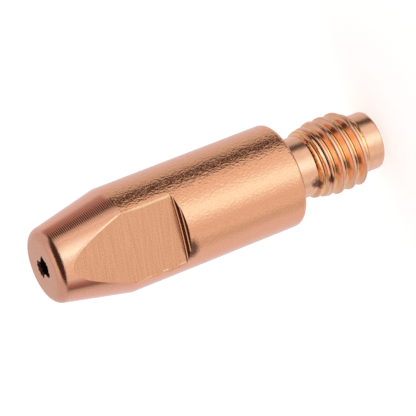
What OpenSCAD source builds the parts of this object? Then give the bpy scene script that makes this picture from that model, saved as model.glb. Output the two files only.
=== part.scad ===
// Contact tip of a wire-feed welding torch, turned from one copper bar.
// It stands on its rear end with the nose up, and the wire bore runs along +Z.
// The wrench flats face -Y and +Y.

/* [Body] */
// Length from the rear end to the nose face
tip_len = 28; // [24:0.5:45]
// Diameter of the body
body_d = 8; // [7.4:0.1:10]
// Rounding of the body's rear edge, at the shoulder
shoulder_edge_r = 0.4; // [0.1:0.05:0.8]

/* [Nose] */
// Length of the nose taper, back from the nose face
nose_len = 5.7; // [4:0.1:9]
// Diameter of the nose face before its edge is rounded
nose_d = 5.5; // [4.4:0.1:6.4]
// Rounding of the edge between the taper and the nose face
nose_edge_r = 0.8; // [0.2:0.05:1.2]

/* [Wrench flats] */
// Distance across the two milled flats
across_flats = 6; // [5.4:0.1:7]
// Length of the flats, back from the nose face
flat_len = 9.8; // [7:0.1:14]

/* [Wire bore] */
// Diameter of the bore that guides the wire and feeds it current
bore_d = 1.4; // [0.8:0.05:2]
// Edge break where the bore opens in the nose face
bore_break = 0.12; // [0.05:0.01:0.3]
// Diameter of the funnel that takes in the wire at the rear end
entry_d = 2.6; // [2.2:0.1:3.4]
// Full angle of the funnel
entry_angle = 60; // [40:5:90]

/* [Threaded end] */
// Length from the rear end to the shoulder
stud_len = 8; // [6.5:0.1:12]
// Diameter over the crests of the thread
thread_d = 5.9; // [5.4:0.05:6]
// Distance from one crest to the next
thread_pitch = 1; // [0.8:0.05:1.25]
// Depth of the thread
thread_depth = 0.5; // [0.35:0.01:0.6]
// Width of the crest
crest_w = 0.2; // [0.1:0.01:0.3]
// Angle of each thread flank, from square to the axis
flank_angle = 30; // [20:1:35]
// Angle of the tapers at both ends of the thread, from the axis
lead_angle = 28; // [20:1:45]
// Diameter of the plain neck between the thread and the shoulder
neck_d = 4.7; // [4:0.1:5]
// Length of the neck
neck_len = 2; // [1.2:0.1:3]
// Diameter of the plain pilot at the rear end
pilot_d = 4.5; // [4:0.1:5]
// Length of the pilot
pilot_len = 1.2; // [0.6:0.1:2.5]
// Rounding of the pilot's rear edge
pilot_edge_r = 0.25; // [0.1:0.05:0.4]

/* [Hidden] */
$fn = 96;

arc_steps = 8;
root_steps = 4;
steps_per_turn = 24;
// How far a cutter reaches past the metal that it removes
cut_over = 0.3;
// Angle about +Z, from +X, at which the thread groove starts
thread_start_angle = 318;

body_r = body_d / 2;
neck_r = neck_d / 2;
pilot_r = pilot_d / 2;
crest_r = thread_d / 2;
bore_r = bore_d / 2;
entry_r = entry_d / 2;

// The nose edge is an arc that meets the taper and the nose face smoothly.
taper_angle = atan2(body_r - nose_d / 2, nose_len);
nose_arc_r = nose_d / 2 + nose_edge_r * (tan(taper_angle) - 1 / cos(taper_angle));

thread_top = stud_len - neck_len;
lead_len = (crest_r - pilot_r) / tan(lead_angle);
runout_len = (crest_r - neck_r) / tan(lead_angle);

// The thread groove has straight flanks that run into a round root.
root_r = crest_r - thread_depth;
groove_half_w = (thread_pitch - crest_w) / 2;
root_round = (groove_half_w - thread_depth * tan(flank_angle))
    / (cos(flank_angle) - tan(flank_angle) * (1 - sin(flank_angle)));
// The groove's cutter flares on past the crest, by half of the crest between two turns.
flare_w = crest_w / 4;
flare_r = flare_w / tan(flank_angle);

function arc(centre, r, from, to, steps) = [
    for (i = [0 : steps])
        let (a = from + (to - from) * i / steps)
            centre + r * [cos(a), sin(a)]
];

// Outline of the turned blank as radius and height, from the rear end to the nose
function blank_outline() = concat(
    [[0, 0]],
    arc([pilot_r - pilot_edge_r, pilot_edge_r], pilot_edge_r, -90, 0, arc_steps),
    [
        [pilot_r, pilot_len],
        [crest_r, pilot_len + lead_len],
        [crest_r, thread_top - runout_len],
        [neck_r, thread_top],
        [neck_r, stud_len],
    ],
    arc([body_r - shoulder_edge_r, stud_len + shoulder_edge_r], shoulder_edge_r, -90, 0, arc_steps),
    [[body_r, tip_len - nose_len]],
    arc([nose_arc_r, tip_len - nose_edge_r], nose_edge_r, taper_angle, 90, arc_steps),
    [[0, tip_len]]
);

// Section of the thread groove as radius and height, about the middle of its root
function groove_section() = concat(
    [[crest_r + flare_r, -groove_half_w - flare_w]],
    arc([root_r + root_round, 0], root_round, 270 - flank_angle, 90 + flank_angle, root_steps),
    [[crest_r + flare_r, groove_half_w + flare_w]]
);

// Right-hand helical groove that runs out over the pilot and over the neck
module thread_groove() {
    section = groove_section();
    sides = len(section);
    start_z = pilot_len - groove_half_w;
    turns = (thread_top + groove_half_w - start_z) / thread_pitch;
    steps = ceil(turns * steps_per_turn);
    points = [
        for (i = [0 : steps], p = section)
            let (a = thread_start_angle + 360 * turns * i / steps)
                [p.x * cos(a), p.x * sin(a), p.y + start_z + thread_pitch * turns * i / steps]
    ];
    walls = [
        for (i = [0 : steps - 1], j = [0 : sides - 1])
            let (near = i * sides, far = near + sides, next = (j + 1) % sides)
                each [
                    [near + j, far + j, far + next],
                    [near + j, far + next, near + next],
                ]
    ];
    first_end = [for (j = [0 : sides - 1]) j];
    last_end = [for (j = [sides - 1 : -1 : 0]) steps * sides + j];
    polyhedron(points, concat([first_end], walls, [last_end]), convexity = 10);
}

// Wire bore with its rear funnel and the broken edge at the nose
module wire_bore() {
    funnel_len = (entry_r - bore_r) / tan(entry_angle / 2);
    over_r = cut_over * tan(entry_angle / 2);
    translate([0, 0, -cut_over])
        cylinder(r = bore_r, h = tip_len + 2 * cut_over);
    translate([0, 0, -cut_over])
        cylinder(r1 = entry_r + over_r, r2 = bore_r, h = funnel_len + cut_over);
    translate([0, 0, tip_len - bore_break])
        cylinder(r1 = bore_r, r2 = bore_r + bore_break + cut_over, h = bore_break + cut_over);
}

// The two slabs of metal that milling takes off to leave the flats
module wrench_flats() {
    slab_w = body_d + 2 * cut_over;
    for (side = [0, 180])
        rotate([0, 0, side])
            translate([-slab_w / 2, across_flats / 2, tip_len - flat_len])
                cube([slab_w, slab_w, flat_len + cut_over]);
}

module contact_tip() {
    color("#d9a184")
        difference() {
            rotate_extrude()
                polygon(blank_outline());
            wire_bore();
            wrench_flats();
            thread_groove();
        }
}

contact_tip();
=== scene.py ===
import math

import bmesh
import bpy
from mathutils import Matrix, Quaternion, Vector, noise


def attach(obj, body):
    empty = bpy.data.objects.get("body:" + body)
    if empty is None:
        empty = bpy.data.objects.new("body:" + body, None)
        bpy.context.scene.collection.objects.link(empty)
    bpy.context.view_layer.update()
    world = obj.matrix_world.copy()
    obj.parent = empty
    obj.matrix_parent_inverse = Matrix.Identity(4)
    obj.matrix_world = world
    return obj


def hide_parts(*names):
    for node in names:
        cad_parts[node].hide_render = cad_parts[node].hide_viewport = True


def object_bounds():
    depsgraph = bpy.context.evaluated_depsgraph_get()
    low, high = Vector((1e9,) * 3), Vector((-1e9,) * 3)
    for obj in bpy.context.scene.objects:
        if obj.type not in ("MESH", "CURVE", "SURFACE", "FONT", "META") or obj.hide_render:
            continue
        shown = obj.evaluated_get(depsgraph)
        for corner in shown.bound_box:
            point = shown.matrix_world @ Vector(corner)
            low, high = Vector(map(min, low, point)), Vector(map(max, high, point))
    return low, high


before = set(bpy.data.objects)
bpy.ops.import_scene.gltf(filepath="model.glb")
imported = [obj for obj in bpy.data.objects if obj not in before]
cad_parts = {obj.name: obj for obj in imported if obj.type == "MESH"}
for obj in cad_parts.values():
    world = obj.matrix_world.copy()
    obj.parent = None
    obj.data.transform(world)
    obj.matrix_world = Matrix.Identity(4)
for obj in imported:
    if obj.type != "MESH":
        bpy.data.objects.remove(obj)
cad_low, cad_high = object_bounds()

# Turned blank: the whole tip as it leaves the lathe, cut from one drawn copper bar.
# It has a round body, a tapered nose with a rounded edge, a shoulder, a plain neck and a plain pilot,
# and the wire bore is drilled right through it, with a funnel at the rear end.
mm = 0.001
columns = 360
body_r = cad_high.x
tip_len = cad_high.z
nose_len = 5.7 * mm
nose_r = 2.75 * mm
nose_edge_r = 0.8 * mm
shoulder_z = 8 * mm
shoulder_edge_r = 0.4 * mm
neck_r = 2.35 * mm
pilot_r = 2.25 * mm
pilot_top = 1.2 * mm
pilot_edge_r = 0.25 * mm
bore_r = 0.7 * mm
bore_break = 0.12 * mm
entry_r = 1.3 * mm
entry_half_angle = math.radians(30)
entry_len = (entry_r - bore_r) / math.tan(entry_half_angle)
thread_top = 6 * mm
# The blank is thinner under the thread, which is modelled as a sleeve and welded on.
core_r = 2 * mm
core_reach = 0.3 * mm
cone_foot = tip_len - nose_len
cone_angle = math.atan2(body_r - nose_r, nose_len)
nose_arc_r = nose_r + nose_edge_r * (math.tan(cone_angle) - 1 / math.cos(cone_angle))
quarter_turn = math.radians(90)
pilot_steps = 8
shoulder_steps = 10
body_rings = 60
cone_rings = 12
nose_steps = 16


def arc(centre_r, centre_z, radius, start, end, steps):
    """Points (radius, height) along an arc between two angles in radians, both ends included."""
    turns = [start + (end - start) * i / steps for i in range(steps + 1)]
    return [(centre_r + radius * math.cos(a), centre_z + radius * math.sin(a)) for a in turns]


def start_piece():
    """Leaves edit mode and deselects everything, so that the next operator acts on its own piece only."""
    if bpy.context.object and bpy.context.object.mode == "EDIT":
        bpy.ops.object.mode_set(mode="OBJECT")
    bpy.ops.object.select_all(action="DESELECT")


def pick(kind, test):
    """In edit mode, selects only the vertices, edges or faces that pass the test."""
    bpy.ops.mesh.select_mode(type=kind)
    bpy.ops.mesh.select_all(action="DESELECT")
    shape = bmesh.from_edit_mesh(bpy.context.object.data)
    for part in {"VERT": shape.verts, "EDGE": shape.edges, "FACE": shape.faces}[kind]:
        if test(part):
            part.select_set(True)
    bmesh.update_edit_mesh(bpy.context.object.data)


def draw_out(outline):
    """Extrudes the selected ring from point to point of an outline of (radius, height)."""
    for (last_r, last_z), (ring_r, ring_z) in zip(outline, outline[1:]):
        bpy.ops.mesh.extrude_edges_move(TRANSFORM_OT_translate={"value": (0, 0, ring_z - last_z)})
        wider = ring_r / last_r
        bpy.ops.transform.resize(value=(wider, wider, 1), center_override=(0, 0, ring_z))


def open_edge(edge):
    """True for an edge with a face on one side only."""
    return edge.is_boundary


outline = [(bore_r, entry_len), (entry_r, 0)]
outline += arc(pilot_r - pilot_edge_r, pilot_edge_r, pilot_edge_r, -quarter_turn, 0, pilot_steps)
outline += [(pilot_r, pilot_top + core_reach), (core_r, pilot_top + 2 * core_reach)]
outline += [(core_r, thread_top - 2 * core_reach), (neck_r, thread_top - core_reach), (neck_r, shoulder_z)]
shoulder_arc_z = shoulder_z + shoulder_edge_r
outline += arc(body_r - shoulder_edge_r, shoulder_arc_z, shoulder_edge_r, -quarter_turn, 0, shoulder_steps)
body_steps = [(cone_foot - shoulder_arc_z) * (i + 1) / body_rings for i in range(body_rings)]
outline += [(body_r, shoulder_arc_z + step) for step in body_steps]
cone_head = tip_len - nose_edge_r * (1 - math.sin(cone_angle))
cone_steps = [(cone_head - cone_foot) * (i + 1) / cone_rings for i in range(cone_rings - 1)]
outline += [(body_r - step * math.tan(cone_angle), cone_foot + step) for step in cone_steps]
outline += arc(nose_arc_r, tip_len - nose_edge_r, nose_edge_r, cone_angle, quarter_turn, nose_steps)
outline += [(bore_r + bore_break, tip_len), (bore_r, tip_len - bore_break)]

start_piece()
bpy.ops.mesh.primitive_circle_add(vertices=columns, radius=bore_r, location=(0, 0, 0))
tip = bpy.context.object
tip.name = "turned_tip"
bpy.ops.object.mode_set(mode="EDIT")
bpy.ops.mesh.select_all(action="SELECT")
bpy.ops.transform.translate(value=(0, 0, entry_len))
draw_out(outline)
pick("EDGE", open_edge)
bpy.ops.mesh.bridge_edge_loops()
bpy.ops.mesh.select_all(action="SELECT")
bpy.ops.mesh.normals_make_consistent(inside=False)
# The drill tears a ragged lobe out of the mouth of the bore on two opposite sides, a large and a small one,
# and leaves a tongue of metal on either side between them.
mouth_r = bore_r + bore_break
tear_way = Vector((0.32, -0.95, 0))
large_lobe_r = 1.06 * mm
small_lobe_r = 0.84 * mm
tongue_r = 0.5 * mm
lobe_from = 0.25
lobe_to = 0.6
tears_round = 5
raggedness = 0.2
for corner in bmesh.from_edit_mesh(tip.data).verts:
    if corner.co.z > tip_len - 2 * bore_break and math.hypot(corner.co.x, corner.co.y) < mouth_r + bore_break:
        out = Vector((corner.co.x, corner.co.y, 0)).normalized()
        along = out.dot(tear_way)
        lobe_r = large_lobe_r if along > 0 else small_lobe_r
        lobe = min(max((abs(along) - lobe_from) / (lobe_to - lobe_from), 0), 1)
        torn_r = tongue_r + (lobe_r - tongue_r) * lobe
        torn_r *= 1 + raggedness * noise.noise(out * tears_round)
        if corner.co.z > tip_len - bore_break / 2:
            corner.co += out * (torn_r - mouth_r)
        else:
            corner.co.z -= max(torn_r - mouth_r, 0)
bmesh.update_edit_mesh(tip.data)

# Thread: M6 with 1 mm pitch, right-hand, rolled into the copper between dies.
# The metal flows up into two lips that close over a fine seam along each crest.
# It starts on a bevel over the pilot, ends in a low lip round the neck, and is one solid with the blank.
pitch = 1 * mm
crest_r = 2.95 * mm
thread_depth = 0.5 * mm
crest_half_w = 0.1 * mm
crest_edge_r = 0.05 * mm
seam_depth = 0.012 * mm
open_seam_depth = 0.2 * mm
open_seam_from = 4.9 * mm
open_seam_to = 5.2 * mm
open_side = Vector((0.48, -0.88, 0))
seam_half_w = 0.04 * mm
flank_angle = math.radians(30)
lead_foot = 1.4 * mm
lead_slope = math.tan(math.radians(45))
runout_top = 6.03 * mm
runout_slope = math.tan(math.radians(13))
lip_height = 0.2 * mm
lip_slope = math.tan(math.radians(60))
fade_edge_r = 0.03 * mm
thread_turns = 7
thread_steps = 120
groove_start_z = -0.083 * mm
sleeve_low = 0.8 * mm
sleeve_high = 6.3 * mm
sleeve_bore_r = 1.5 * mm
weld_gap = 0.002 * mm


def smooth_least(a, b, blend):
    """The smaller of two lengths, with the corner between them rounded."""
    mix = max(blend - abs(a - b), 0) / blend
    return min(a, b) - mix * mix * blend / 4


def thread_radius(offset):
    """Radius of the thread at a height from the middle of its crest, within half a pitch."""
    away = abs(offset)
    root_r = crest_r - thread_depth
    groove_half_w = pitch / 2 - crest_half_w
    across = math.cos(flank_angle) - math.tan(flank_angle) * (1 - math.sin(flank_angle))
    root_round = (groove_half_w - thread_depth * math.tan(flank_angle)) / across
    from_root = pitch / 2 - away
    if from_root < root_round * math.cos(flank_angle):
        return root_r + root_round - math.sqrt(root_round ** 2 - from_root ** 2)
    flank_r = crest_r - (away - crest_half_w) / math.tan(flank_angle)
    return smooth_least(crest_r, flank_r, crest_edge_r)


def from_crest(point):
    """Height of a point of the thread above or below the middle of the nearest crest."""
    crest_z = groove_start_z + pitch * (0.5 + math.atan2(point.y, point.x) / math.tau)
    return (point.z - crest_z + pitch / 2) % pitch - pitch / 2


def fade_radius(height):
    """Radius that the bevel at the start of the thread and the lip at its end leave at a height."""
    lead_r = pilot_r + (height - lead_foot) * lead_slope
    fall = runout_top - height
    return min(lead_r, neck_r + smooth_least(fall * lip_slope, lip_height + fall * runout_slope, fade_edge_r))


def seam_gape(point):
    """How far the seam is open at a point, from 0 to 1: only near the thread's end, and on one side."""
    upward = min(max((point.z - open_seam_from) / (open_seam_to - open_seam_from), 0), 1)
    return upward * max(open_side.dot(Vector((point.x, point.y, 0)).normalized()), 0)


def seam_at(point):
    """Depth of the seam at a point of the thread."""
    deepest = seam_depth + (open_seam_depth - seam_depth) * seam_gape(point)
    return deepest * math.exp(-(from_crest(point) / seam_half_w) ** 2)


# Shares of a pitch from the middle of the crest, closer together over the crest and its seam
points_per_pitch = 40
flank_points = 16
flank_start = 0.125
crest_reach = 0.12
crest_steps = 16
offsets = [-0.5 + i / points_per_pitch for i in range(flank_points)]
offsets += [-crest_reach + 2 * crest_reach * i / crest_steps for i in range(crest_steps + 1)]
offsets += [flank_start + i / points_per_pitch for i in range(flank_points)]
section = [(thread_radius(share * pitch), groove_start_z + (share + 0.5) * pitch) for share in offsets]
start_piece()
bpy.ops.mesh.primitive_circle_add(vertices=3, radius=mm)
sleeve = bpy.context.object
sleeve.name = "thread_sleeve"
bpy.ops.object.mode_set(mode="EDIT")
bpy.ops.mesh.select_mode(type="VERT")
bpy.ops.mesh.select_all(action="SELECT")
bpy.ops.mesh.merge(type="CENTER")
bpy.ops.transform.translate(value=(section[0][0], 0, section[0][1]))
for (last_r, last_z), (next_r, next_z) in zip(section, section[1:]):
    step = (next_r - last_r, 0, next_z - last_z)
    bpy.ops.mesh.extrude_region_move(TRANSFORM_OT_translate={"value": step})
bpy.ops.object.mode_set(mode="OBJECT")
screw = sleeve.modifiers.new("thread", "SCREW")
screw.angle = math.tau
screw.screw_offset = pitch
screw.iterations = thread_turns
screw.steps = thread_steps
screw.render_steps = thread_steps
bpy.ops.object.modifier_apply(modifier=screw.name)
for corner in sleeve.data.vertices:
    now_r = math.hypot(corner.co.x, corner.co.y)
    new_r = smooth_least(now_r, fade_radius(corner.co.z), fade_edge_r) - seam_at(corner.co)
    corner.co.x *= new_r / now_r
    corner.co.y *= new_r / now_r
bpy.ops.object.mode_set(mode="EDIT")
bpy.ops.mesh.select_all(action="SELECT")
bpy.ops.mesh.remove_doubles(threshold=weld_gap)
bpy.ops.mesh.bisect(plane_co=(0, 0, sleeve_low), plane_no=(0, 0, 1), clear_inner=True)
bpy.ops.mesh.select_all(action="SELECT")
bpy.ops.mesh.bisect(plane_co=(0, 0, sleeve_high), plane_no=(0, 0, 1), clear_outer=True)
for cut_z in (sleeve_low, sleeve_high):
    pick("EDGE", lambda edge: edge.is_boundary and abs(edge.verts[0].co.z - cut_z) < weld_gap)
    draw_out([(fade_radius(cut_z), cut_z), (sleeve_bore_r, cut_z)])
pick("EDGE", open_edge)
bpy.ops.mesh.bridge_edge_loops()
bpy.ops.mesh.select_all(action="SELECT")
bpy.ops.mesh.normals_make_consistent(inside=False)
bpy.ops.object.mode_set(mode="OBJECT")


def cut_or_weld(tool, how):
    """Joins a tool solid to the tip, or cuts it out of it, and removes the tool."""
    start_piece()
    tip.select_set(True)
    bpy.context.view_layer.objects.active = tip
    change = tip.modifiers.new(how.lower(), "BOOLEAN")
    change.operation = how
    change.solver = "EXACT"
    change.object = tool
    bpy.ops.object.modifier_apply(modifier=change.name)
    bpy.data.objects.remove(tool)


cut_or_weld(sleeve, "UNION")

# Wrench flats: two flats for a 6 mm spanner, milled across the body and the nose after turning.
# The round cutter leaves a hollow step with two fine ledges at their rear ends, and rolls their edges over.
# Where its teeth leave the metal they push up a thin, uneven burr.
across_flats = 6 * mm
flat_foot = 18.2 * mm
cutter_w = 12 * mm
cutter_reach = 4 * mm
half_chord = math.sqrt(body_r ** 2 - (across_flats / 2) ** 2)
step_low = flat_foot - 0.4 * mm
step_bow = 0.1 * mm
step_rise = 0.06 * mm
step_lean = math.tan(math.radians(5))
step_cuts = 16
ledges = (0.12 * mm, 0.6 * mm)
ledge_w = 0.015 * mm
ledge_fall = 0.07 * mm
burr_w = 0.18 * mm
burr_height = 0.09 * mm
burr_length = 0.35 * mm
burr_mean = 0.7
burr_wave = 1.4
burr_taper = 1.5 * mm
least_width = 0.1
for side in (-1, 1):
    start_piece()
    bpy.ops.mesh.primitive_cube_add(size=1)
    cutter = bpy.context.object
    bpy.ops.object.mode_set(mode="EDIT")
    bpy.ops.mesh.select_all(action="SELECT")
    bpy.ops.transform.resize(value=(cutter_w, cutter_reach, cutter_w))
    out_to_middle = side * (across_flats + cutter_reach) / 2
    bpy.ops.transform.translate(value=(0, out_to_middle, flat_foot + cutter_w / 2))
    cuts = [(((cut / step_cuts - 0.5) * cutter_w, 0, 0), (1, 0, 0)) for cut in range(1, step_cuts)]
    for ledge in ledges:
        ledge_y = side * (across_flats / 2 + ledge)
        cuts += [((0, ledge_y, 0), (0, 1, 0)), ((0, ledge_y + side * ledge_w, 0), (0, 1, 0))]
    for through, across in cuts:
        pick("FACE", lambda face: face.calc_center_median().z < flat_foot + weld_gap)
        bpy.ops.mesh.bisect(plane_co=through, plane_no=across, threshold=weld_gap)
    shape = bmesh.from_edit_mesh(cutter.data)
    for corner in shape.verts:
        if corner.co.z < flat_foot + weld_gap:
            out_from_flat = abs(corner.co.y) - across_flats / 2
            fall = out_from_flat * step_lean + step_bow * max(1 - (corner.co.x / half_chord) ** 2, -1)
            fall += ledge_fall * sum(out_from_flat > ledge + ledge_w / 2 for ledge in ledges)
            corner.co.z += step_rise - fall
    bmesh.update_edit_mesh(cutter.data)
    bpy.ops.object.mode_set(mode="OBJECT")
    cut_or_weld(cutter, "DIFFERENCE")


def on_flat(corner):
    """True for a vertex in the plane of one of the flats."""
    return abs(abs(corner.co.y) - across_flats / 2) < weld_gap and corner.co.z > step_low


def turned_radius(height):
    """Radius of the turned body and taper at a height."""
    return body_r - max(height - cone_foot, 0) * math.tan(cone_angle)


def along_edge(edge, near, far):
    """True for an edge along the body, beside a flat, that lies between two depths below the flat's plane."""
    first, second = edge.verts
    upright = abs(first.co.z - second.co.z) > weld_gap and abs(first.co.x - second.co.x) < weld_gap
    depth = across_flats / 2 - abs(first.co.y)
    high = max(first.co.z, second.co.z)
    out_r = math.hypot(first.co.x, first.co.y)
    beside_flat = step_low < high < cone_foot + weld_gap and out_r > body_r - weld_gap
    return upright and near < depth < far and beside_flat


# Each edge is rolled over within a strip that is first cleared of the blank's own columns.
bpy.ops.object.mode_set(mode="EDIT")
pick("EDGE", lambda edge: along_edge(edge, weld_gap, burr_w))
bpy.ops.mesh.dissolve_edges()
pick("EDGE", lambda edge: along_edge(edge, -weld_gap, weld_gap))
bpy.ops.mesh.bevel(offset=burr_w, segments=3, affect="EDGES")
for corner in bmesh.from_edit_mesh(tip.data).verts:
    out_r = math.hypot(corner.co.x, corner.co.y)
    inside_flat = abs(corner.co.y) < across_flats / 2 - weld_gap
    if corner.select and inside_flat and out_r < body_r - weld_gap:
        out = Vector((corner.co.x / out_r, corner.co.y / out_r, 0))
        out.y += math.copysign(1, corner.co.y)
        leaving = corner.co.x * corner.co.y > 0
        uneven = burr_mean + burr_wave * noise.noise(corner.co / burr_length)
        corner.co += out.normalized() * burr_height * leaving * max(uneven, 0)
    if corner.select:
        edge_x = math.copysign(half_chord, corner.co.x)
        edge_y = math.copysign(across_flats / 2, corner.co.y)
        width = min(max((cone_foot - corner.co.z) / burr_taper, least_width), 1)
        corner.co = Vector((edge_x, edge_y, corner.co.z)).lerp(corner.co, width)
bmesh.update_edit_mesh(tip.data)
pick("EDGE", lambda edge: edge.verts[0].co.z > cone_foot and all(on_flat(corner) for corner in edge.verts))
bpy.ops.mesh.mark_sharp()
bpy.ops.object.mode_set(mode="OBJECT")

# Bare copper: one metal, which each way of working leaves with a finish of its own.
# Drawn bar is satin with fine flecks along the axis; the turned taper has tool lines around it; the milled
# flats have lines across; the rolled thread is smooth; the faced ends have a fine grit; the bore is dull.
# Dark patches: these serve both real stains and painted dark reflections, and the rust speck uses their edge.
stain_and_painted_dark_hex = "#4c2a20"
mark_most = 0.85
mark_ragged = 1.4
mark_full = 1.3
mark_gone = 2


def linear(hex_colour):
    """An sRGB hex colour as linear RGBA."""
    shares = [int(hex_colour[i:i + 2], 16) / 255 for i in (1, 3, 5)]
    return [s / 12.92 if s < 0.04045 else ((s + 0.055) / 1.055) ** 2.4 for s in shares] + [1]


# Sockets go by number where names repeat. A colour Mix blends 6 and 7 into output 2, and a Map Range takes
# a value at 0, its limits at 1 and 2, and what those become at 3 and 4.
def add_node(tree, kind, inputs=(), **settings):
    """Adds a node with its settings, and sets or links its inputs, given as (socket, value or output)."""
    node = tree.nodes.new(kind)
    for name, value in settings.items():
        setattr(node, name, value)
    for socket, value in inputs:
        if isinstance(value, bpy.types.NodeSocket):
            tree.links.new(value, node.inputs[socket])
        else:
            node.inputs[socket].default_value = value
    return node


def new_metal(name):
    """An empty node material, and its Object coordinates."""
    metal = bpy.data.materials.new(name)
    metal.use_nodes = True
    metal.node_tree.nodes.clear()
    tip.data.materials.append(metal)
    return metal.node_tree, add_node(metal.node_tree, "ShaderNodeTexCoord").outputs["Object"]


def stain_and_painted_dark_cover(tree, place, spot, ragged, most=mark_most):
    """How far a stain, rust speck or painted dark reflection at a spot (its middle and half sizes, in mm)
    covers the metal, with a ragged edge.
    """
    middle, half_sizes = spot
    away = add_node(tree, "ShaderNodeVectorMath", [
        (0, place), (1, Vector(middle) * mm)], operation="SUBTRACT")
    shares = [1 / (half * mm) for half in half_sizes]
    scaled = add_node(tree, "ShaderNodeVectorMath", [(0, away.outputs[0]), (1, shares)], operation="MULTIPLY")
    far = add_node(tree, "ShaderNodeVectorMath", [(0, scaled.outputs[0])], operation="LENGTH")
    edge = add_node(tree, "ShaderNodeMath", [
        (0, ragged), (1, mark_ragged), (2, far.outputs["Value"])], operation="MULTIPLY_ADD")
    return add_node(tree, "ShaderNodeMapRange", [
        (0, edge.outputs[0]), (1, mark_full), (2, mark_gone), (3, most), (4, 0)]).outputs[0]


def add_stain_and_painted_dark(tree, place, clean, spot, ragged, most=mark_most):
    """A dark patch over a clean colour, used for real stains and for painted dark reflections."""
    cover = stain_and_painted_dark_cover(tree, place, spot, ragged, most)
    return add_node(tree, "ShaderNodeMix", [
        ("Factor", cover), (6, clean), (7, linear(stain_and_painted_dark_hex))], data_type="RGBA").outputs[2]


def facing(tree, place, side):
    """How far a point of the tip lies towards one side, from -1 to 1."""
    sideways = add_node(tree, "ShaderNodeVectorMath", [(0, place), (1, (1, 1, 0))], operation="MULTIPLY")
    out = add_node(tree, "ShaderNodeVectorMath", [(0, sideways.outputs[0])], operation="NORMALIZE")
    share = add_node(tree, "ShaderNodeVectorMath", [(0, out.outputs[0]), (1, side)], operation="DOT_PRODUCT")
    return share.outputs["Value"]


# The tip's list of materials starts empty, and each finish below is added to it in turn.
tip.data.materials.clear()

# Drawn copper: flecks left by the die, longer along the axis, which break the edges of what it mirrors.
# They are about 0.16 mm wide and 0.24 mm long, and deepest on the side where the die dragged.
# The body is darker in a smudge beside the step of the flat.
fleck_w = 0.16 * mm
fleck_l = 0.24 * mm
fleck_depth = 0.04 * mm
drag_side = (0.857, -0.515, 0)
drag_from = 0.75
drag_full = 0.93
drag_least = 0.5
speck = 0.1 * mm
step_smudge = ((-1.65, -3.62, 17.95), (0.95, 0.6, 0.6))
tree, place = new_metal("drawn_copper")
stretched = add_node(tree, "ShaderNodeMapping", [
    ("Vector", place), ("Scale", (1 / fleck_w, 1 / fleck_w, 1 / fleck_l))])
flecks = add_node(tree, "ShaderNodeTexNoise", [
    ("Vector", stretched.outputs[0]), ("Scale", 1), ("Detail", 2), ("Roughness", 0.5)])
tone = add_node(tree, "ShaderNodeTexNoise", [("Vector", place), ("Scale", 1 / speck), ("Detail", 4)])
toned = add_node(tree, "ShaderNodeMix", [
    ("Factor", tone.outputs["Fac"]), (6, linear("#e09a72")), (7, linear("#ffbe96"))], data_type="RGBA")
# The body is darker in a smudge beside the step of the flat.
smudged = add_stain_and_painted_dark(tree, place, toned.outputs[2], step_smudge, tone.outputs["Fac"])
drag = add_node(tree, "ShaderNodeMapRange", [
    (0, facing(tree, place, drag_side)), (1, drag_from), (2, drag_full), (3, drag_least), (4, 1)])
relief = add_node(tree, "ShaderNodeBump", [
    ("Strength", drag.outputs[0]), ("Distance", fleck_depth), ("Height", flecks.outputs["Fac"])])
drawn = add_node(tree, "ShaderNodeBsdfPrincipled", [
    ("Base Color", smudged), ("Metallic", 1), ("Roughness", 0.15), ("Normal", relief.outputs[0])])
add_node(tree, "ShaderNodeOutputMaterial", [("Surface", drawn.outputs["BSDF"])])

# Turned copper: the lathe tool scored dull lines around the taper, deepest on the side where it chattered.
# The real lines are about 0.1 mm apart; they are drawn 0.14 mm apart so that they show. There is a red speck
# of rust among them, and a bright rim where the milling cutter entered and rolled the edge of the flat over.
tool_feed = 0.14 * mm
tool_depth = 0.001 * mm
wander_size = 4 * tool_feed
wander_reach = 0.25 * tool_feed
line_edge = 0.1
line_full = 0.8
between_lines_rough = 0.13
line_rough = 0.55
chatter_side = (0.835, -0.55, 0)
chatter_from = 0.978
chatter_full = 0.997
chatter_least = 0.06
rust_hex = "#cc3a20"
rust_speck = ((3.27, -1.62, 23.89), (0.12, 0.12, 0.2))
rust_most = 0.75
rim_w = 0.08 * mm
rim_depth = 0.035 * mm
tree, place = new_metal("turned_copper")
parts = add_node(tree, "ShaderNodeSeparateXYZ", [(0, place)])
along = parts.outputs["Z"]
uneven = add_node(tree, "ShaderNodeTexNoise", [
    ("Vector", place), ("Scale", 1 / wander_size), ("Detail", 3)])
wander = add_node(tree, "ShaderNodeMath", [
    (0, uneven.outputs["Fac"]), (1, wander_reach), (2, along)], operation="MULTIPLY_ADD")
turns = add_node(tree, "ShaderNodeMath", [
    (0, wander.outputs[0]), (1, math.tau / tool_feed)], operation="MULTIPLY")
lines = add_node(tree, "ShaderNodeMath", [(0, turns.outputs[0])], operation="SINE")
chatter = add_node(tree, "ShaderNodeMapRange", [
    (0, facing(tree, place, chatter_side)), (1, chatter_from), (2, chatter_full), (3, chatter_least), (4, 1)])
lined = add_node(tree, "ShaderNodeMath", [
    (0, lines.outputs[0]), (1, chatter.outputs[0])], operation="MULTIPLY")
sheen = add_node(tree, "ShaderNodeMapRange", [
    (0, lined.outputs[0]), (1, line_edge), (2, line_full), (3, between_lines_rough), (4, line_rough)])
tone = add_node(tree, "ShaderNodeTexNoise", [("Vector", place), ("Scale", 1 / speck), ("Detail", 4)])
toned = add_node(tree, "ShaderNodeMix", [
    ("Factor", tone.outputs["Fac"]), (6, linear("#e09c79")), (7, linear("#ffc1a0"))], data_type="RGBA")
rust = stain_and_painted_dark_cover(tree, place, rust_speck, tone.outputs["Fac"], rust_most)
rusted = add_node(tree, "ShaderNodeMix", [
    ("Factor", rust), (6, toned.outputs[2]), (7, linear(rust_hex))], data_type="RGBA")
bare = add_node(tree, "ShaderNodeMath", [(0, 1), (1, rust)], operation="SUBTRACT")
aside = add_node(tree, "ShaderNodeMath", [(0, parts.outputs["Y"])], operation="ABSOLUTE")
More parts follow.
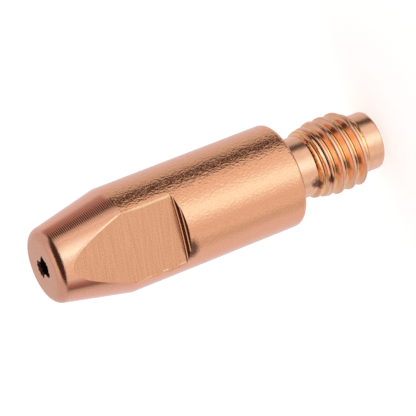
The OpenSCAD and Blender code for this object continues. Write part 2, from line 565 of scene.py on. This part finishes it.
wavy = add_node(tree, "ShaderNodeMath", [
    (0, uneven.outputs["Fac"]), (1, rim_w), (2, aside.outputs[0])], operation="MULTIPLY_ADD")
near_flat = add_node(tree, "ShaderNodeMapRange", [
    (0, wavy.outputs[0]), (1, across_flats / 2 - rim_w / 2), (2, across_flats / 2 + rim_w / 2)])
above_step = add_node(tree, "ShaderNodeMath", [(0, along), (1, step_low)], operation="GREATER_THAN")
quarter = add_node(tree, "ShaderNodeMath", [
    (0, parts.outputs["X"]), (1, parts.outputs["Y"])], operation="MULTIPLY")
entering = add_node(tree, "ShaderNodeMath", [(0, quarter.outputs[0]), (1, 0)], operation="LESS_THAN")
on_edge = add_node(tree, "ShaderNodeMath", [
    (0, above_step.outputs[0]), (1, entering.outputs[0])], operation="MULTIPLY")
rim_fall = add_node(tree, "ShaderNodeMath", [
    (0, near_flat.outputs[0]), (1, on_edge.outputs[0])], operation="MULTIPLY")
rim = add_node(tree, "ShaderNodeBump", [
    ("Strength", 1), ("Distance", rim_depth), ("Height", rim_fall.outputs[0])], invert=True)
relief = add_node(tree, "ShaderNodeBump", [
    ("Strength", 1), ("Distance", tool_depth), ("Height", lined.outputs[0]), ("Normal", rim.outputs[0])])
turned = add_node(tree, "ShaderNodeBsdfPrincipled", [
    ("Base Color", rusted.outputs[2]), ("Metallic", bare.outputs[0]),
    ("Roughness", sheen.outputs[0]), ("Normal", relief.outputs[0])])
add_node(tree, "ShaderNodeOutputMaterial", [("Surface", turned.outputs["BSDF"])])

# Milled copper: the cutter's teeth leave fine straight lines across the flats, 0.1 mm apart and leaning a
# little, which show through the metal's own speckle.
tooth_gap = 0.1 * mm
tooth_depth = 0.0015 * mm
tooth_run = 2.4 * mm
tooth_lean = math.radians(5)
speckle_share = 0.6
darkest_grain = 0.2
palest_grain = 0.8
tree, place = new_metal("milled_copper")
stretched = add_node(tree, "ShaderNodeMapping", [
    ("Vector", place), ("Rotation", (0, tooth_lean, 0)), ("Scale", (tooth_run, tooth_run, tooth_gap))],
    vector_type="TEXTURE")
teeth = add_node(tree, "ShaderNodeTexNoise", [("Vector", stretched.outputs[0]), ("Scale", 1), ("Detail", 3)])
tone = add_node(tree, "ShaderNodeTexNoise", [("Vector", place), ("Scale", 1 / speck), ("Detail", 4)])
grain = add_node(tree, "ShaderNodeMix", [
    ("Factor", speckle_share), (2, teeth.outputs["Fac"]), (3, tone.outputs["Fac"])])
scored = add_node(tree, "ShaderNodeMapRange", [
    (0, grain.outputs[0]), (1, darkest_grain), (2, palest_grain)])
toned = add_node(tree, "ShaderNodeMix", [
    ("Factor", scored.outputs[0]), (6, linear("#c98762")), (7, linear("#ffc098"))], data_type="RGBA")
relief = add_node(tree, "ShaderNodeBump", [
    ("Strength", 1), ("Distance", tooth_depth), ("Height", teeth.outputs["Fac"])])
milled = add_node(tree, "ShaderNodeBsdfPrincipled", [
    ("Base Color", toned.outputs[2]), ("Metallic", 1), ("Roughness", 0.2), ("Normal", relief.outputs[0])])
add_node(tree, "ShaderNodeOutputMaterial", [("Surface", milled.outputs["BSDF"])])

# Rolled copper: the dies leave the thread smooth and bright with shallow dents. Its colour is painted
# yellower in the root, as a painted reflection of copper in copper, and pinker near its crests, as a painted
# highlight; painted dark reflections sit where the groove runs out, on the neck, and in its root on one side.
dent_size = 0.35 * mm
dent_depth = 0.009 * mm
root_reflection_tone_to = crest_r - 0.7 * thread_depth
crest_highlight_tone_from = crest_r - 0.1 * thread_depth
root_rough = 0.17
crest_rough = 0.14
# Painted dark reflections: where the groove runs out, on the neck, and along the root on one side.
runout_dark_reflection = ((-0.95, -2.55, 5.15), (0.35, 0.35, 0.22))
neck_dark_reflection = ((-0.97, -2.1, 6.07), (0.55, 0.35, 0.55))
root_dark_reflection = ((-0.42, -2.45, 3.4), (0.45, 0.18, 2))
root_reflection_most = 0.6
tree, place = new_metal("rolled_copper")
dents = add_node(tree, "ShaderNodeTexNoise", [("Vector", place), ("Scale", 1 / dent_size), ("Detail", 3)])
relief = add_node(tree, "ShaderNodeBump", [
    ("Strength", 1), ("Distance", dent_depth), ("Height", dents.outputs["Fac"])])
sideways = add_node(tree, "ShaderNodeVectorMath", [(0, place), (1, (1, 1, 0))], operation="MULTIPLY")
out = add_node(tree, "ShaderNodeVectorMath", [(0, sideways.outputs[0])], operation="LENGTH")
# Painted reflection and highlight: the colour runs from a yellower root to a pinker crest.
up_flank = add_node(tree, "ShaderNodeMapRange", [
    (0, out.outputs["Value"]), (1, root_reflection_tone_to), (2, crest_highlight_tone_from)])
toned = add_node(tree, "ShaderNodeMix", [
    ("Factor", up_flank.outputs[0]), (6, linear("#ffc491")), (7, linear("#ffc6b0"))], data_type="RGBA")
sheen = add_node(tree, "ShaderNodeMapRange", [(0, up_flank.outputs[0]), (3, root_rough), (4, crest_rough)])
# The dark patches laid on here are painted dark reflections.
patched = add_stain_and_painted_dark(tree, place, toned.outputs[2], runout_dark_reflection, dents.outputs["Fac"])
patched = add_stain_and_painted_dark(tree, place, patched, neck_dark_reflection, dents.outputs["Fac"])
patched = add_stain_and_painted_dark(tree, place, patched, root_dark_reflection, dents.outputs["Fac"], root_reflection_most)
rolled = add_node(tree, "ShaderNodeBsdfPrincipled", [
    ("Base Color", patched), ("Metallic", 1), ("Roughness", sheen.outputs[0]), ("Normal", relief.outputs[0])])
add_node(tree, "ShaderNodeOutputMaterial", [("Surface", rolled.outputs["BSDF"])])

# Plain copper: the neck, the pilot and the crests are smooth and bright; their paler tone is partly a painted
# highlight, and the neck has patches of painted dark reflection.
tree, place = new_metal("plain_copper")
dents = add_node(tree, "ShaderNodeTexNoise", [("Vector", place), ("Scale", 1 / dent_size), ("Detail", 3)])
relief = add_node(tree, "ShaderNodeBump", [
    ("Strength", 1), ("Distance", dent_depth), ("Height", dents.outputs["Fac"])])
# The paler tone is partly a painted highlight.
toned = add_node(tree, "ShaderNodeMix", [
    ("Factor", dents.outputs["Fac"]), (6, linear("#eeb08c")), (7, linear("#fcc6a2"))], data_type="RGBA")
# Painted dark reflections on the neck and where the groove runs out.
patched = add_stain_and_painted_dark(tree, place, toned.outputs[2], neck_dark_reflection, dents.outputs["Fac"])
patched = add_stain_and_painted_dark(tree, place, patched, runout_dark_reflection, dents.outputs["Fac"])
plain = add_node(tree, "ShaderNodeBsdfPrincipled", [
    ("Base Color", patched), ("Metallic", 1), ("Roughness", 0.24), ("Normal", relief.outputs[0])])
add_node(tree, "ShaderNodeOutputMaterial", [("Surface", plain.outputs["BSDF"])])

# Faced copper: the ends are cut square to the axis, and a fine grit takes the gloss off them.
grit_size = 0.12 * mm
grit_depth = 0.008 * mm
tree, place = new_metal("faced_copper")
grit = add_node(tree, "ShaderNodeTexNoise", [("Vector", place), ("Scale", 1 / grit_size), ("Detail", 3)])
relief = add_node(tree, "ShaderNodeBump", [
    ("Strength", 1), ("Distance", grit_depth), ("Height", grit.outputs["Fac"])])
toned = add_node(tree, "ShaderNodeMix", [
    ("Factor", grit.outputs["Fac"]), (6, linear("#e4a286")), (7, linear("#fbbd9f"))], data_type="RGBA")
faced = add_node(tree, "ShaderNodeBsdfPrincipled", [
    ("Base Color", toned.outputs[2]), ("Metallic", 1), ("Roughness", 0.2), ("Normal", relief.outputs[0])])
add_node(tree, "ShaderNodeOutputMaterial", [("Surface", faced.outputs["BSDF"])])

# Painted shade: the bore, its torn mouth, the open seams of the thread and the crevice under the lip at its
# end are painted dark, and are dull.
hollow_mottle_size = 0.2 * mm
tree, place = new_metal("shaded_hollow_copper")
hollow_mottle = add_node(tree, "ShaderNodeTexNoise", [("Vector", place), ("Scale", 1 / hollow_mottle_size), ("Detail", 3)])
toned = add_node(tree, "ShaderNodeMix", [
    ("Factor", hollow_mottle.outputs["Fac"]), (6, linear("#2c160e")), (7, linear("#64362a"))], data_type="RGBA")
shaded_hollow = add_node(tree, "ShaderNodeBsdfPrincipled", [
    ("Base Color", toned.outputs[2]), ("Metallic", 0.4), ("Roughness", 0.45)])
add_node(tree, "ShaderNodeOutputMaterial", [("Surface", shaded_hollow.outputs["BSDF"])])

# Each face takes the finish of the tool that made it, by its place on the tip; the hollows take the painted
# shade.
DRAWN, TURNED, MILLED, ROLLED, PLAIN, FACED, SHADED_HOLLOW = range(7)
level_face = 0.9
gape_seen = 0.84
lip_side = 0.9
milled_below = 5 * weld_gap
smooth_angle = math.radians(28)
for face in tip.data.polygons:
    middle = face.center
    out_r = math.hypot(middle.x, middle.y)
    # The bore and its torn mouth get painted shade.
    in_mouth = middle.z > cone_head and out_r < large_lobe_r + bore_break and face.normal.z < level_face
    if in_mouth or (out_r < bore_r + weld_gap and entry_len < middle.z):
        finish = SHADED_HOLLOW
    elif middle.z < pilot_edge_r / 2 or middle.z > cone_head:
        finish = FACED
    elif middle.z < lead_foot or (middle.z < shoulder_z - weld_gap and middle.z > runout_top):
        finish = PLAIN
    elif middle.z < shoulder_z - weld_gap:
        # The open seam near the thread's end and the crevice under its lip get painted shade.
        in_seam = abs(from_crest(middle)) < seam_half_w and seam_gape(middle) > gape_seen
        at_lip = middle.z > runout_top - lip_height and out_r < neck_r + lip_height / 2
        under_lip = at_lip and open_side.dot(middle) > lip_side * out_r
        on_crest = abs(from_crest(middle)) < crest_half_w + crest_edge_r
        finish = SHADED_HOLLOW if in_seam or under_lip else PLAIN if on_crest else ROLLED
    elif middle.z > step_low and out_r < turned_radius(middle.z) - milled_below:
        finish = MILLED
    elif middle.z > cone_foot or middle.z < shoulder_z + shoulder_edge_r / 2:
        finish = TURNED
    else:
        finish = DRAWN
    face.material_index = finish

start_piece()
tip.select_set(True)
bpy.context.view_layer.objects.active = tip
bpy.ops.object.shade_smooth_by_angle(angle=smooth_angle)
normals = tip.modifiers.new("normals", "WEIGHTED_NORMAL")
normals.keep_sharp = True
bpy.ops.object.modifier_apply(modifier=normals.name)
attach(tip, "root")
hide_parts("contact_tip")

# Studio: the tip stands on a pale sheet, with a faint shadow, in a light tent of white cloth.
# The tent is brightest in front and has a dark gap between its panels on one side. Its roof is brighter in
# the middle, and its front flap hangs open above the camera.
view_azimuth = math.radians(18.65)
view_height = math.radians(22.72)
towards_camera = Vector((math.sin(view_azimuth), -math.cos(view_azimuth), 0))
towards_left = Vector((-math.cos(view_azimuth), -math.sin(view_azimuth), 0))
upwards = Vector((0, 0, 1))

world = bpy.data.worlds.new("light_tent")
bpy.context.scene.world = world
world.use_nodes = True
tent = world.node_tree
tent.nodes.clear()
direction = add_node(tent, "ShaderNodeTexCoord").outputs["Generated"]


def part_along(axis):
    """How much of the direction that is looked in points along an axis."""
    share = add_node(tent, "ShaderNodeVectorMath", [(0, direction), (1, axis)], operation="DOT_PRODUCT")
    return share.outputs["Value"]


ahead = part_along(towards_camera)
height = part_along(upwards)
bearing = add_node(tent, "ShaderNodeMath", [(0, part_along(towards_left)), (1, ahead)], operation="ARCTAN2")
round_share = add_node(tent, "ShaderNodeMath", [(0, bearing.outputs[0]), (1, 1 / math.tau), (2, 0.5)],
                       operation="MULTIPLY_ADD").outputs[0]
white = (1, 1, 1)
cool = (1, 1, 1.12)
rosy = (1, 0.62, 0.67)
daylight = (0.72, 1, 1.12)
gap = (1, 0.52, 0.46)
brightest = 2.4


def tent_light(channels):
    """A light of the tent as a share of its brightest, because the colours of a ramp stop at 1."""
    return [channel / brightest for channel in channels] + [1]


def tent_wall(lights):
    """Light round the tent, as bearings from the camera in degrees (left is positive), levels and tints."""
    walls = add_node(tent, "ShaderNodeValToRGB", [(0, round_share)])
    stops = walls.color_ramp.elements
    while len(stops) < len(lights):
        stops.new(0.5)
    for stop, (bearing_deg, level, tint) in zip(stops, lights):
        stop.position = bearing_deg / 360 + 0.5
        stop.color = tent_light([level * channel for channel in tint])
    return walls.outputs["Color"]


low_wall = tent_wall([
    (-180, 0.8, cool), (-124, 0.8, cool), (-112, 0.7, white), (-97, 0.68, white), (-91, 0.5, white),
    (-86, 0.07, gap), (-67, 0.07, gap), (-58, 0.75, white), (-48, 0.95, white), (-26, 0.96, white),
    (-6, 1.6, daylight), (12, 1.6, daylight), (32, 0.95, white), (42, 0.85, white), (64, 0.9, white),
    (76, 0.7, white), (86, 0.72, white), (98, 0.86, cool), (180, 0.8, cool)])
level_wall = tent_wall([
    (-180, 0.68, white), (-132, 0.78, cool), (-120, 0.76, cool), (-109, 0.44, rosy), (-93, 0.37, rosy),
    (-86, 0.15, gap), (-75, 0.08, gap), (-69, 0.12, gap), (-62, 0.85, white), (-55, 0.95, white),
    (-44, 0.93, white), (-14, 1.87, daylight), (-8, 1.85, daylight), (3, 1.45, daylight), (20, 1, white),
    (62, 0.85, white), (78, 0.45, rosy), (92, 0.22, rosy), (98, 0.46, white), (107, 0.64, white),
    (122, 0.72, cool), (180, 0.68, white)])
roof = tent_light((0.66, 0.63, 0.64))
roof_middle = tent_light((0.88, 0.8, 0.74))
flap = tent_light((0.055, 0.03, 0.022))
# Where one part of the tent gives way to the next, as shares of the direction upwards or towards the camera
low_to = -0.2
level_from = -0.06
level_to = 0.2
roof_from = 0.4
middle_edge = 0.84
middle_from = 0.98
flap_hem = 0.16
flap_from = 0.23
flap_back = 0.12
flap_front = 0.26
flap_slant = 0.1
up_from_flap = (upwards - flap_slant * towards_left).normalized()
up_to_level = add_node(tent, "ShaderNodeMapRange", [(0, height), (1, low_to), (2, level_from)])
up_to_roof = add_node(tent, "ShaderNodeMapRange", [(0, height), (1, level_to), (2, roof_from)])
over_camera = add_node(tent, "ShaderNodeMapRange", [
    (0, part_along(up_from_flap)), (1, flap_hem), (2, flap_from)])
to_middle = add_node(tent, "ShaderNodeMapRange", [(0, height), (1, middle_edge), (2, middle_from)])
before_roof = add_node(tent, "ShaderNodeMapRange", [(0, ahead), (1, flap_back), (2, flap_front)])
on_flap = add_node(tent, "ShaderNodeMath", [(0, over_camera.outputs[0]), (1, before_roof.outputs[0])],
                   operation="MULTIPLY")
sides = add_node(tent, "ShaderNodeMix", [
    ("Factor", up_to_level.outputs[0]), (6, low_wall), (7, level_wall)], data_type="RGBA")
covered = add_node(tent, "ShaderNodeMix", [
    ("Factor", up_to_roof.outputs[0]), (6, sides.outputs[2]), (7, roof)], data_type="RGBA")
topped = add_node(tent, "ShaderNodeMix", [
    ("Factor", to_middle.outputs[0]), (6, covered.outputs[2]), (7, roof_middle)], data_type="RGBA")
opened = add_node(tent, "ShaderNodeMix", [
    ("Factor", on_flap.outputs[0]), (6, topped.outputs[2]), (7, flap)], data_type="RGBA")
glow = add_node(tent, "ShaderNodeBackground", [(0, opened.outputs[2]), (1, brightest)])
backdrop = add_node(tent, "ShaderNodeBackground", [(0, (1, 1, 1, 1)), (1, 1)])
path = add_node(tent, "ShaderNodeLightPath")
shown = add_node(tent, "ShaderNodeMixShader", [
    (0, path.outputs["Is Camera Ray"]), (1, glow.outputs[0]), (2, backdrop.outputs[0])])
add_node(tent, "ShaderNodeOutputWorld", [("Surface", shown.outputs[0])])

floor_size = 1.2
floor_white = "#f4f4f4"
floor_glow = 0.64
start_piece()
bpy.ops.mesh.primitive_plane_add(size=floor_size)
floor = bpy.context.object
floor.name = "pale_sheet"
paper = bpy.data.materials.new("white_paper")
paper.use_nodes = True
paper.node_tree.nodes.clear()
path = add_node(paper.node_tree, "ShaderNodeLightPath")
seen = add_node(paper.node_tree, "ShaderNodeMath", [(0, path.outputs["Is Camera Ray"]), (1, floor_glow)],
                operation="MULTIPLY")
sheet = add_node(paper.node_tree, "ShaderNodeBsdfPrincipled", [
    ("Base Color", linear(floor_white)), ("Roughness", 0.9), ("Specular IOR Level", 0),
    ("Emission Color", (1, 1, 1, 1)), ("Emission Strength", seen.outputs[0])])
add_node(paper.node_tree, "ShaderNodeOutputMaterial", [("Surface", sheet.outputs["BSDF"])])
floor.data.materials.append(paper)
# The metal mirrors the tent on all sides, also below its own height, as when it hangs in a tent.
floor.visible_glossy = False
floor.visible_shadow = False

# Camera: a long lens that looks a little down on the tip, from the side of one of its flats.
# The tip lies aslant in the picture, nose to the lower left, so the camera is rolled.
focal_px = 2722
picture_px = 416
sensor_mm = 36
camera_distance = 200 * mm
aim_height = 14.2 * mm
aim_drop = 0.374 * mm
roll = math.radians(-111.57)
lens_data = bpy.data.cameras.new("camera")
camera = bpy.data.objects.new("camera", lens_data)
bpy.context.scene.collection.objects.link(camera)
bpy.context.scene.camera = camera
lens_data.sensor_width = sensor_mm
lens_data.lens = focal_px / picture_px * sensor_mm
lens_data.clip_start = 1 * mm
lens_data.clip_end = 10
back = math.cos(view_height) * towards_camera + math.sin(view_height) * upwards
turn = (-back).to_track_quat("-Z", "Y") @ Quaternion((0, 0, 1), roll)
picture_down = turn @ Vector((0, -1, 0))
camera.rotation_mode = "QUATERNION"
camera.rotation_quaternion = turn
camera.location = Vector((0, 0, aim_height)) + aim_drop * picture_down + camera_distance * back
bpy.context.scene.view_settings.view_transform = "Standard"
